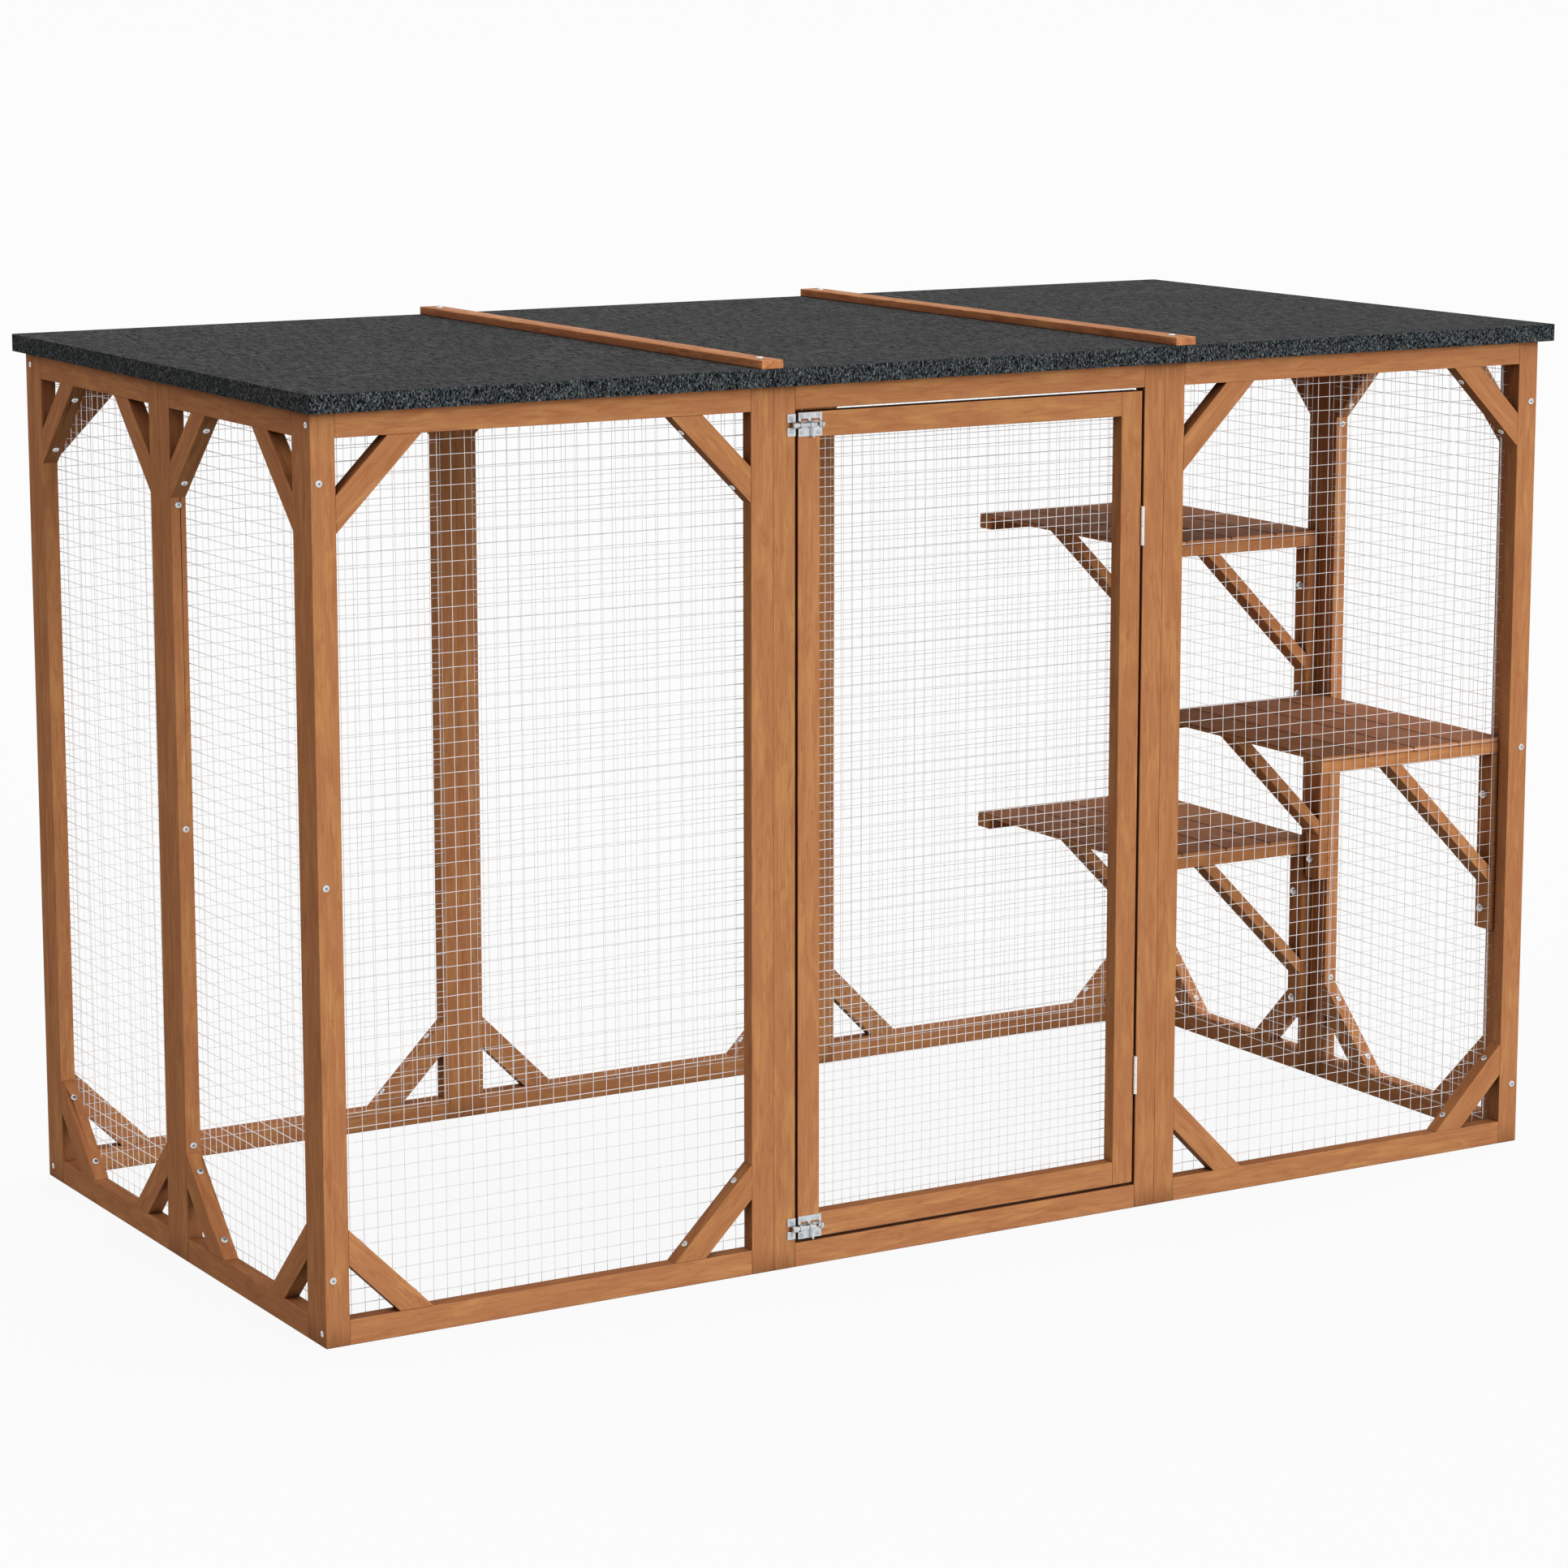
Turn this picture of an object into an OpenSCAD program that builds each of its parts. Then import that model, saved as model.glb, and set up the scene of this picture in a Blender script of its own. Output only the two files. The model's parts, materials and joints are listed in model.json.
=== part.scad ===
// Outdoor cat enclosure: screwed timber panels with welded wire mesh, a hinged door with two barrel bolts,
// three wall platforms and a felt covered roof. Millimetres. The origin is on the ground, at the middle of
// the footprint: +X runs to the right along the front, +Y to the back, +Z up.

/* [Frame] */
// Width of the frame, outside the end panels
frame_w = 1800; // [1500:10:2400]
// Depth of the frame, outside the front and back panels
frame_d = 874; // [760:2:1200]
// Height of the frame, up to the underside of the roof
frame_h = 1105; // [1000:5:1400]
// Width of the middle panels, with the doorway in the front one
middle_panel_w = 578; // [500:2:700]

/* [Timber] */
// Width of the stiles, rails and braces
stock_w = 31; // [30:1:38]
// Thickness of the stiles, rails and braces
stock_t = 20; // [18:1:22]
// Length of a corner brace's leg, from the inner corner of its panel
brace_leg = 110; // [95:1:130]

/* [Mesh] */
// Thickness of one mesh wire
wire_t = 1; // [0.8:0.1:1.6]
// Wanted spacing of the mesh wires
wire_pitch = 54; // [50:1:80]
// How far the mesh laps over the frame it is fixed to
mesh_lap = 7; // [4:0.5:7.5]

/* [Roof] */
// How far the roof stands out at the left and right
overhang_x = 11; // [8:1:40]
// How far the roof stands out at the front and back
overhang_y = 24; // [16:1:60]
// Thickness of the roof boards
board_t = 19.5; // [12:0.5:25]
// Thickness of the mineral felt on the boards
felt_t = 2.5; // [1.5:0.5:4]
// Corner radius of the roof, outside the felt
roof_corner_r = 7; // [5:0.5:12]
// Gap between two sections of the roof, under a batten
seam_gap = 1; // [0.5:0.5:5]
// Width of a batten over a roof seam
batten_w = 30; // [20:1:50]
// Thickness of a batten
batten_t = 10.5; // [8:0.5:16]

/* [Door] */
// Gap all round between the door and the doorway
door_gap = 4; // [3.6:0.1:5]

/* [Hinges] */
// Length of a hinge
hinge_h = 50; // [40:1:70]
// Outer radius of a hinge knuckle
knuckle_r = 2.5; // [2.3:0.1:2.8]
// Radius of a hinge pin
pin_r = 1.2; // [1:0.1:1.5]
// Thickness of a hinge leaf
leaf_t = 1; // [0.8:0.1:1.3]
// Width of a hinge leaf, into the gap
leaf_w = 15; // [10:1:16]
// Height of the lower hinge's middle
lower_hinge_z = 179; // [150:1:250]
// Distance of the upper hinge's middle below the roof
upper_hinge_drop = 207; // [150:1:260]

/* [Barrel bolts] */
// Height of a bolt plate
plate_h = 29; // [26:0.5:36]
// Thickness of the plates and their pressed straps
plate_t = 1; // [0.8:0.1:1.4]
// Distance of a bolt plate from the end of the door
plate_inset = 0.5; // [0:0.5:20]
// Radius of the sliding rod
rod_r = 3; // [2.5:0.1:3.5]
// Travel of the rod
rod_travel = 10; // [8:0.5:14]
// Width of a strap pressed from the plate
strap_w = 3; // [2:0.1:4]
// Distance of the middle strap from the plate's free edge
middle_strap_x = 14.2; // [12:0.1:16]
// Height of the slots pressed in a plate
slot_h = 3; // [1:0.1:4]
// Width of the rod's tab
tab_w = 2.4; // [1.5:0.1:4]
// How far the tab hangs below the rod's axis
tab_drop = 15.5; // [13:0.5:20]
// Width of a keeper
keeper_w = 11.5; // [10:0.1:14]
// Width of the bridge pressed from a keeper
bridge_w = 6.5; // [5:0.1:8]
// Height of a keeper
keeper_h = 27; // [24:0.5:34]

/* [Platforms] */
// How far a platform stands out from the wall
deck_reach = 308; // [250:1:340]
// Thickness of a platform slat
slat_t = 6; // [5:0.5:12]
// Number of slats on a platform
slat_count = 4; // [3:1:6]
// Gap between the slats
slat_gap = 1; // [0.5:0.5:4]
// Height of the lower platform's top
lower_deck_z = 352; // [330:1:380]
// Height of the middle platform's top
middle_deck_z = 564; // [530:1:590]
// Height of the top platform's top
top_deck_z = 800; // [780:1:850]
// Thickness of the arms, struts and uprights
bracket_t = 16; // [12:1:20]
// Length of an upright, below its arm
upright_len = 245; // [230:1:260]
// Length of a strut's leg, from the corner of its bracket
strut_leg = 180; // [150:1:200]
// Clearance between a platform and the mesh at its ends
deck_end_gap = 0.5; // [0.3:0.1:2]
// Distance of the upper platform bolt below its arm
bolt_below_arm = 58; // [40:1:65]
// Distance between the two platform bolts of an upright
platform_bolt_spacing = 158; // [145:1:160]

/* [Fasteners] */
// Radius of the wood screws
screw_r = 2; // [1.5:0.1:2.4]
// Head radius of the brace and assembly screws
pan_head_r = 4.5; // [3.5:0.1:5]
// Head height of the brace and assembly screws
pan_head_h = 1.8; // [1.2:0.1:2.2]
// Length of a brace screw
brace_screw_len = 45; // [38:1:50]
// Distance of a brace screw from the tip of the brace, along its long edge
brace_screw_inset = 28; // [24:1:30]
// Length of a rail screw, through the stile into the end of the rail
rail_screw_len = 60; // [45:1:60]
// Head radius of a countersunk rail screw
flat_head_r = 4; // [3:0.1:4.5]
// How deep a rail screw's head is sunk
flat_head_sink = 0.5; // [0.2:0.1:2]
// Length of the screws that hold the panels together
assembly_screw_len = 45; // [36:1:46]
// Distance of the corners' end assembly screws from the floor and the roof
corner_screw_end = 82; // [66:1:86]
// Distance of the end screws of a joint between two panels from the tip of the braces
joint_screw_gap = 9; // [7:1:30]
// Length of a batten screw
batten_screw_len = 45; // [38:1:52]
// Radius of the platform bolts
bolt_r = 3; // [2.5:0.1:3]
// Head radius of the platform bolts
bolt_head_r = 6.5; // [5:0.1:8]
// Width of a nut across its flats
nut_width = 10; // [9:0.5:11]
// Thickness of a nut
nut_t = 5; // [4:0.1:6]
// How far a bolt's end stands out of its nut
bolt_end_proud = 3; // [1:0.5:5]

/* [Clearances] */
// Radial clearance of a fastener in its hole
hole_gap = 0.05; // [0.02:0.01:0.2]
// Radial running clearance of a hinge pin
pin_gap = 0.05; // [0.03:0.01:0.1]
// Radial running clearance of a bolt's rod
rod_gap = 0.1; // [0.05:0.05:0.2]
// Gap between the two knuckles of a hinge
knuckle_gap = 0.3; // [0.2:0.1:0.6]
// Gap between the mesh's upright wires and the level ones that cross them
wire_gap = 0.02; // [0.01:0.01:0.05]

/* [Hidden] */
$fn = 48;
screw_fn = 24;
wood = "#b87a4b";
deck_wood = "#9a5f3a";
wire_metal = "#d8dadb";
zinc = "#c9ced1";
felt = "#36393c";

// Panel widths and the places of the panels along their walls
end_panel_w = (frame_w - middle_panel_w) / 2;
side_panel_w = (frame_d - 2 * stock_t) / 2;
panel_w = [end_panel_w, middle_panel_w, end_panel_w];
panel_x = [-frame_w / 2, -middle_panel_w / 2, middle_panel_w / 2];
side_panel_y = [stock_t - frame_d / 2, 0];
front_y = -frame_d / 2;
left_panel = 0;
middle_panel = 1;
right_panel = 2;
front_half = 0;
back_half = 1;

// The door and its hinge axis, in the frame's own coordinates
door_w = middle_panel_w - 2 * stock_w - 2 * door_gap;
door_z = stock_w + door_gap;
door_h = frame_h - 2 * door_z;
door_left_x = -door_w / 2;
door_right_x = door_w / 2;

// The hinge axis is at the middle of the gap, just far enough out for the knuckles to clear the timber
timber_gap = 0.15;
axis_proud = sqrt(pow(knuckle_r, 2) - pow(door_gap / 2 - timber_gap, 2));
hinge_x = door_right_x + door_gap / 2;
hinge_y = front_y - axis_proud;
hinge_z = [lower_hinge_z, frame_h - upper_hinge_drop];
leaf_start = knuckle_r + knuckle_gap;

// Barrel bolts: the rod's tip lies under the keeper's bridge, and its tab slides between two straps
bolt_z = [door_z + plate_inset + plate_h / 2, door_z + door_h - plate_inset - plate_h / 2];
strap_r = rod_r + rod_gap;
strap_outer_r = strap_r + plate_t;
tab_gap = 0.4;
tab_t = 2;
tab_x = middle_strap_x + strap_w + tab_gap;
end_strap_x = tab_x + tab_w + rod_travel + tab_gap;
strap_x = [0, middle_strap_x, end_strap_x];
slot_margin = 0.5;
plate_w = end_strap_x + strap_w;
rod_tip_x = tab_gap - door_gap - bridge_w;
rod_end_x = tab_x + tab_w + rod_r;

// The mesh lies on the inner faces in two layers of wire, so a bracket stands off by its thickness
mesh_t = 2 * wire_t + wire_gap;

// Platforms on the right-hand wall
bracket_face_x = frame_w / 2 - stock_t - mesh_t;
deck_start = mesh_t + deck_end_gap;
deck_len = side_panel_w - 2 * deck_start;
slat_w = (deck_reach - (slat_count - 1) * slat_gap) / slat_count;
platform_z = [lower_deck_z, middle_deck_z, top_deck_z];
platform_half = [back_half, front_half, back_half];
lower_platform = 0;
middle_platform = 1;
top_platform = 2;

// Roof
roof_w = frame_w + 2 * overhang_x;
roof_d = frame_d + 2 * overhang_y;
roof_top_z = frame_h + board_t + felt_t;
section_w = roof_w / 3;

// How far a cutting shape stands out past what it cuts
cut = 1;

// Fastener places: the rail screws and the batten screws pass each other inside the timber
corner_screw_z = [corner_screw_end, frame_h / 2, frame_h - corner_screw_end];
joint_screw_end = stock_w + brace_leg + joint_screw_gap;
joint_screw_z = [joint_screw_end, frame_h / 2, frame_h - joint_screw_end];
rail_screw_y = 0.65 * stock_t;
batten_screw_y = 0.35 * stock_t;
flat_head_h = flat_head_r - screw_r;
dome_ratio = 2;
bolt_grip = stock_t + mesh_t + bracket_t;
bolt_len = bolt_grip + nut_t + bolt_end_proud;

// Placing a panel: drawn with X along its width, its outer face at Y = 0 and its inner face at stock_t

module on_front(i) translate([panel_x[i], front_y, 0]) children();

module on_back(i) translate([panel_x[i], -front_y, 0]) mirror([0, 1, 0]) children();

module on_left(i) translate([-frame_w / 2, side_panel_y[i], 0]) mirror([1, -1, 0]) children();

module on_right(i) mirror([1, 0, 0]) on_left(i) children();

module on_all_front() for (i = [left_panel, right_panel]) on_front(i) children();

module on_all_back() for (i = [left_panel : right_panel]) on_back(i) children();

module on_both_sides() {
    for (i = [front_half, back_half]) {
        on_left(i) children();
        on_right(i) children();
    }
}

// Timber of a panel of the given width and height

module stiles(w, h = frame_h) for (x = [0, w - stock_w]) translate([x, 0, 0]) cube([stock_w, stock_t, h]);

module rails(w, h = frame_h) {
    for (z = [0, h - stock_w])
        translate([stock_w, 0, z])
            cube([w - 2 * stock_w, stock_t, stock_w]);
}

// Repeats its children at the four inner corners of a panel, mirrored to face its middle
module at_corners(w) {
    for (right = [0, 1], top = [0, 1])
        translate([right * w, 0, top * frame_h])
            mirror([right, 0, 0])
                mirror([0, 0, top])
                    translate([stock_w, 0, stock_w])
                        children();
}

// A plate of the given depth along Y, from an outline in X and Z
module upright_plate(depth) translate([0, depth, 0]) rotate([90, 0, 0]) linear_extrude(depth) children();

// A 45 degree bar across a corner: leg is its long edge's reach along both sides, bar_w its width
module diagonal(leg, bar_w) {
    short_leg = leg - bar_w * sqrt(2);
    polygon([[leg, 0], [0, leg], [0, short_leg], [short_leg, 0]]);
}

module braces(w) {
    difference() {
        at_corners(w) upright_plate(stock_t) diagonal(brace_leg, stock_w);
        brace_screws_at(w, hole_gap);
    }
}

// Fasteners: drawn with the shank down -Z from the surface at Z = 0; grow > 0 gives the hole instead

module pan_screw(len, grow = 0) {
    translate([0, 0, -len]) cylinder(h = len, r = screw_r + grow, $fn = screw_fn);
    if (grow == 0)
        domed_head(pan_head_r);
}

// A shallow domed head of the given radius, standing on the surface
module domed_head(r) {
    intersection() {
        cylinder(h = pan_head_h, r = r, $fn = screw_fn);
        translate([0, 0, pan_head_h - dome_ratio * r]) sphere(r = dome_ratio * r, $fn = screw_fn);
    }
}

module flat_screw(len, grow = 0) {
    translate([0, 0, -flat_head_sink]) {
        translate([0, 0, -len]) cylinder(h = len, r = screw_r + grow, $fn = screw_fn);
        translate([0, 0, -flat_head_h])
            cylinder(h = flat_head_h, r1 = screw_r + grow, r2 = flat_head_r + grow, $fn = screw_fn);
        if (grow > 0)
            cylinder(h = 2 * flat_head_sink, r = flat_head_r + grow, $fn = screw_fn);
    }
}

// Two screws through each brace, square to its long edge, into the stile and the rail
module brace_screws_at(w, grow = 0) {
    along = brace_screw_inset / sqrt(2);
    at_corners(w)
        for (spot = [[along, brace_leg - along], [brace_leg - along, along]])
            translate([spot[0], stock_t / 2, spot[1]])
                rotate([0, 45, 0])
                    pan_screw(brace_screw_len, grow);
}

// One screw at each end of each rail, countersunk in the stile's outer edge
module rail_screws_at(w, grow = 0, h = frame_h) {
    for (right = [0, 1], z = [stock_w / 2, h - stock_w / 2])
        translate([right * w, rail_screw_y, z])
            mirror([right, 0, 0])
                rotate([0, -90, 0])
                    flat_screw(rail_screw_len, grow);
}

// Corner screws: through the front and back panels' end stiles into the side walls' stiles
module corner_screws(grow = 0) {
    for (right = [0, 1], back = [0, 1], z = corner_screw_z)
        mirror([right, 0, 0])
            mirror([0, back, 0])
                translate([stock_t / 2 - frame_w / 2, front_y, z])
                    rotate([90, 0, 0])
                        pan_screw(assembly_screw_len, grow);
}

// Screws that join the panels of the front and back walls, driven from the right through both stiles
module wall_joint_screws(back, grow = 0) {
    for (i = [middle_panel, right_panel], z = joint_screw_z)
        mirror([0, back, 0])
            translate([panel_x[i] + stock_w, front_y + stock_t / 2, z])
                rotate([0, 90, 0])
                    pan_screw(assembly_screw_len, grow);
}

// Screws that join the two panels of each side wall, driven from the front through both stiles
module side_joint_screws(grow = 0) {
    for (right = [0, 1], z = joint_screw_z)
        mirror([right, 0, 0])
            translate([stock_t / 2 - frame_w / 2, -stock_w, z])
                rotate([90, 0, 0])
                    pan_screw(assembly_screw_len, grow);
}

module batten_screws_at(grow = 0) {
    for (x = [-section_w / 2, section_w / 2], end = [0, 1])
        mirror([0, end, 0])
            translate([x, front_y + batten_screw_y, roof_top_z + batten_t])
                pan_screw(batten_screw_len, grow);
}

// Front or back panel timber, with the holes for every screw that enters it

module wall_stiles(i, back) {
    difference() {
        mirror([0, back, 0]) on_front(i) stiles(panel_w[i]);
        mirror([0, back, 0]) on_front(i) rail_screws_at(panel_w[i], hole_gap);
        if (i != middle_panel || back == 1)
            mirror([0, back, 0]) on_front(i) brace_screws_at(panel_w[i], hole_gap);
        if (i != middle_panel)
            corner_screws(hole_gap);
        wall_joint_screws(back, hole_gap);
        batten_screws_at(hole_gap);
    }
}

module wall_rails(i, back) {
    difference() {
        mirror([0, back, 0]) on_front(i) rails(panel_w[i]);
        mirror([0, back, 0]) on_front(i) rail_screws_at(panel_w[i], hole_gap);
        if (i != middle_panel || back == 1)
            mirror([0, back, 0]) on_front(i) brace_screws_at(panel_w[i], hole_gap);
        batten_screws_at(hole_gap);
    }
}

// Side wall timber, with the holes for every screw and bolt that enters it

module side_stiles(right, half) {
    difference() {
        mirror([right, 0, 0]) on_left(half) stiles(side_panel_w);
        mirror([right, 0, 0]) on_left(half) rail_screws_at(side_panel_w, hole_gap);
        mirror([right, 0, 0]) on_left(half) brace_screws_at(side_panel_w, hole_gap);
        corner_screws(hole_gap);
        side_joint_screws(hole_gap);
        if (right == 1)
            platform_bolts_at(hole_gap);
    }
}

module side_rails(right, half) {
    difference() {
        mirror([right, 0, 0]) on_left(half) rails(side_panel_w);
        mirror([right, 0, 0]) on_left(half) rail_screws_at(side_panel_w, hole_gap);
        mirror([right, 0, 0]) on_left(half) brace_screws_at(side_panel_w, hole_gap);
    }
}

// Welded wire mesh over the opening of a panel: upright wires on the timber, level wires on those
module mesh(w, h = frame_h) {
    edge = stock_w - mesh_lap;
    net_w = w - 2 * edge;
    net_h = h - 2 * edge;
    columns = round(net_w / wire_pitch);
    rows = round(net_h / wire_pitch);
    for (i = [0 : columns])
        translate([edge + i * (net_w - wire_t) / columns, stock_t, edge])
            cube([wire_t, wire_t, net_h]);
    for (i = [0 : rows])
        translate([edge, stock_t + wire_t + wire_gap, edge + i * (net_h - wire_t) / rows])
            cube([net_w, wire_t, wire_t]);
}

module front_left_stiles() color(wood) wall_stiles(left_panel, 0);
module front_left_rails() color(wood) wall_rails(left_panel, 0);
module front_left_mesh() color(wire_metal) on_front(left_panel) mesh(end_panel_w);
module doorway_stiles() color(wood) wall_stiles(middle_panel, 0);
module doorway_rails() color(wood) wall_rails(middle_panel, 0);
module front_right_stiles() color(wood) wall_stiles(right_panel, 0);
module front_right_rails() color(wood) wall_rails(right_panel, 0);
module front_right_mesh() color(wire_metal) on_front(right_panel) mesh(end_panel_w);

module back_left_stiles() color(wood) wall_stiles(left_panel, 1);
module back_left_rails() color(wood) wall_rails(left_panel, 1);
module back_left_mesh() color(wire_metal) on_back(left_panel) mesh(end_panel_w);
module back_middle_stiles() color(wood) wall_stiles(middle_panel, 1);
module back_middle_rails() color(wood) wall_rails(middle_panel, 1);
module back_middle_mesh() color(wire_metal) on_back(middle_panel) mesh(middle_panel_w);
module back_right_stiles() color(wood) wall_stiles(right_panel, 1);
module back_right_rails() color(wood) wall_rails(right_panel, 1);
module back_right_mesh() color(wire_metal) on_back(right_panel) mesh(end_panel_w);

module left_wall_front_stiles() color(wood) side_stiles(0, front_half);
module left_wall_front_rails() color(wood) side_rails(0, front_half);
module left_wall_front_mesh() color(wire_metal) on_left(front_half) mesh(side_panel_w);
module left_wall_back_stiles() color(wood) side_stiles(0, back_half);
module left_wall_back_rails() color(wood) side_rails(0, back_half);
module left_wall_back_mesh() color(wire_metal) on_left(back_half) mesh(side_panel_w);

module right_wall_front_stiles() color(wood) side_stiles(1, front_half);
module right_wall_front_rails() color(wood) side_rails(1, front_half);
module right_wall_front_mesh() color(wire_metal) on_right(front_half) mesh(side_panel_w);
module right_wall_back_stiles() color(wood) side_stiles(1, back_half);
module right_wall_back_rails() color(wood) side_rails(1, back_half);
module right_wall_back_mesh() color(wire_metal) on_right(back_half) mesh(side_panel_w);

module front_braces() color(wood) on_all_front() braces(end_panel_w);
module back_braces() color(wood) for (i = [left_panel : right_panel]) on_back(i) braces(panel_w[i]);
module left_wall_braces() color(wood) for (i = [front_half, back_half]) on_left(i) braces(side_panel_w);
module right_wall_braces() color(wood) for (i = [front_half, back_half]) on_right(i) braces(side_panel_w);

// Door: drawn as a panel of its own, from the lower left corner of its front face

module on_door() translate([door_left_x, front_y, door_z]) children();

module door_stiles() {
    color(wood)
        on_door()
            difference() {
                stiles(door_w, door_h);
                rail_screws_at(door_w, hole_gap, door_h);
            }
}

module door_rails() {
    color(wood)
        on_door()
            difference() {
                rails(door_w, door_h);
                rail_screws_at(door_w, hole_gap, door_h);
            }
}

module door_mesh() color(wire_metal) on_door() mesh(door_w, door_h);

// Roof: three boards side by side, each under its own felt, which turns down over the outer rim

module rounded_rectangle(w, d, r) {
    square([w - 2 * r, d], center = true);
    square([w, d - 2 * r], center = true);
    for (x = [r - w / 2, w / 2 - r], y = [r - d / 2, d / 2 - r])
        translate([x, y])
            circle(r = r);
}

module board_stack() {
    translate([0, 0, frame_h])
        linear_extrude(board_t)
            rounded_rectangle(roof_w - 2 * felt_t, roof_d - 2 * felt_t, roof_corner_r - felt_t);
}

module felt_stack() {
    translate([0, 0, frame_h])
        linear_extrude(board_t + felt_t)
            rounded_rectangle(roof_w, roof_d, roof_corner_r);
}

// The third of the roof that board i covers, as a block taller and deeper than the roof
module roof_section(i) {
    translate([(i - 1.5) * section_w + seam_gap / 2, -roof_d, frame_h - cut])
        cube([section_w - seam_gap, 2 * roof_d, board_t + felt_t + 2 * cut]);
}

module roof_boards() {
    color(wood)
        for (i = [0 : 2])
            difference() {
                intersection() {
                    board_stack();
                    roof_section(i);
                }
                batten_screws_at(hole_gap);
            }
}

module roof_felt() {
    color(felt)
        for (i = [0 : 2])
            difference() {
                intersection() {
                    felt_stack();
                    roof_section(i);
                }
                board_stack();
                batten_screws_at(hole_gap);
            }
}

module roof_battens() {
    color(wood)
        difference() {
            for (x = [-section_w / 2, section_w / 2])
                translate([x - batten_w / 2, -roof_d / 2, roof_top_z])
                    cube([batten_w, roof_d, batten_t]);
            batten_screws_at(hole_gap);
        }
}

// Platforms: drawn from the wall's corner of the bracket, with X away from the wall and Z = 0 at the deck's top

module on_platform(i) {
    translate([bracket_face_x, side_panel_y[platform_half[i]] + deck_start, platform_z[i]])
        mirror([1, 0, 0])
            children();
}

// Repeats its children at the two ends of a platform
module at_deck_ends() for (y = [0, deck_len - stock_w]) translate([0, y, 0]) children();

module slats() {
    for (i = [0 : slat_count - 1])
        translate([i * (slat_w + slat_gap), 0, -slat_t])
            cube([slat_w, deck_len, slat_t]);
}

module arm() translate([0, 0, -slat_t - bracket_t]) cube([deck_reach, stock_w, bracket_t]);

module upright() {
    translate([0, 0, -slat_t - bracket_t - upright_len])
        cube([bracket_t, stock_w, upright_len]);
}

module strut() {
    translate([bracket_t, 0, -slat_t - bracket_t])
        mirror([0, 0, 1])
            upright_plate(stock_w)
                diagonal(strut_leg, bracket_t);
}

// A coach bolt from outside the wall, through the stile and the upright
module platform_bolt(grow = 0) {
    translate([bolt_grip, 0, 0])
        rotate([0, 90, 0])
            translate([0, 0, -bolt_grip - nut_t - bolt_end_proud])
                cylinder(h = bolt_len, r = bolt_r + grow, $fn = screw_fn);
    if (grow == 0)
        translate([bolt_grip, 0, 0])
            rotate([0, 90, 0])
                domed_head(bolt_head_r);
}

// Repeats its children where each platform bolt leaves its upright, with +X towards the wall
module at_platform_bolts() {
    for (i = [lower_platform : top_platform], drop = [0, platform_bolt_spacing])
        on_platform(i)
            at_deck_ends()
                translate([bracket_t, stock_w / 2, -slat_t - bracket_t - bolt_below_arm - drop])
                    mirror([1, 0, 0])
                        children();
}

module platform_bolts_at(grow = 0) at_platform_bolts() platform_bolt(grow);

module lower_platform_slats() color(deck_wood) on_platform(lower_platform) slats();
module middle_platform_slats() color(deck_wood) on_platform(middle_platform) slats();
module top_platform_slats() color(deck_wood) on_platform(top_platform) slats();

module on_all_platforms() for (i = [lower_platform : top_platform]) on_platform(i) at_deck_ends() children();

module platform_arms() color(wood) on_all_platforms() arm();
module platform_struts() color(wood) on_all_platforms() strut();

module platform_uprights() {
    color(wood)
        difference() {
            on_all_platforms() upright();
            platform_bolts_at(hole_gap);
        }
}

module platform_bolts() color(zinc) platform_bolts_at();

module platform_nuts() {
    color(zinc)
        at_platform_bolts()
            rotate([0, -90, 0])
                difference() {
                    cylinder(h = nut_t, d = nut_width / cos(30), $fn = 6);
                    translate([0, 0, -cut])
                        cylinder(h = nut_t + 2 * cut, r = bolt_r + hole_gap, $fn = screw_fn);
                }
}

// Hinges: drawn round the pin's axis, from the hinge's lower end, with the door on the -X side

module at_hinges() for (z = hinge_z) translate([hinge_x, hinge_y, z - hinge_h / 2]) children();

// A leaf against the timber at -X, with a knuckle on its upper half
module hinge_leaf() {
    half = (hinge_h - knuckle_gap) / 2;
    difference() {
        union() {
            translate([-door_gap / 2, axis_proud + leaf_start, 0])
                cube([leaf_t, leaf_w, hinge_h]);
            translate([-door_gap / 2, 0, hinge_h - half])
                cube([leaf_t, axis_proud + leaf_start, half]);
            translate([0, 0, hinge_h - half])
                cylinder(h = half, r = knuckle_r);
        }
        translate([0, 0, -cut])
            cylinder(h = hinge_h + 2 * cut, r = pin_r + pin_gap);
    }
}

module hinge_door_leaves() color(zinc) at_hinges() hinge_leaf();

module hinge_frame_leaves() {
    color(zinc)
        at_hinges()
            translate([0, 0, hinge_h])
                rotate([0, 180, 0])
                    hinge_leaf();
}

module hinge_pins() color(zinc) at_hinges() cylinder(h = hinge_h, r = pin_r);

// Barrel bolts: drawn from the plate's free edge at the rod's height, with the timber's face at Y = 0

module at_bolt(i) translate([door_left_x, front_y, bolt_z[i]]) children();

module at_bolts() for (i = [0, 1]) at_bolt(i) children();

// The rod's axis lies along X, clear of the plate by the running gap
module on_rod_axis() translate([0, -plate_t - strap_r, 0]) rotate([0, 90, 0]) children();

// A strap pressed up over the rod, from x on, as wide as w
module strap(x, w) {
    difference() {
        union() {
            on_rod_axis() translate([0, 0, x]) cylinder(h = w, r = strap_outer_r);
            translate([x, -plate_t - strap_r, -strap_outer_r]) cube([w, strap_r, 2 * strap_outer_r]);
        }
        on_rod_axis() translate([0, 0, x - cut]) cylinder(h = w + 2 * cut, r = strap_r);
        translate([x - cut, -plate_t - strap_r, -strap_r])
            cube([w + 2 * cut, strap_r, 2 * strap_r]);
        translate([x - cut, -plate_t, -2 * strap_outer_r])
            cube([w + 2 * cut, 2 * strap_outer_r, 4 * strap_outer_r]);
    }
}

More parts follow.
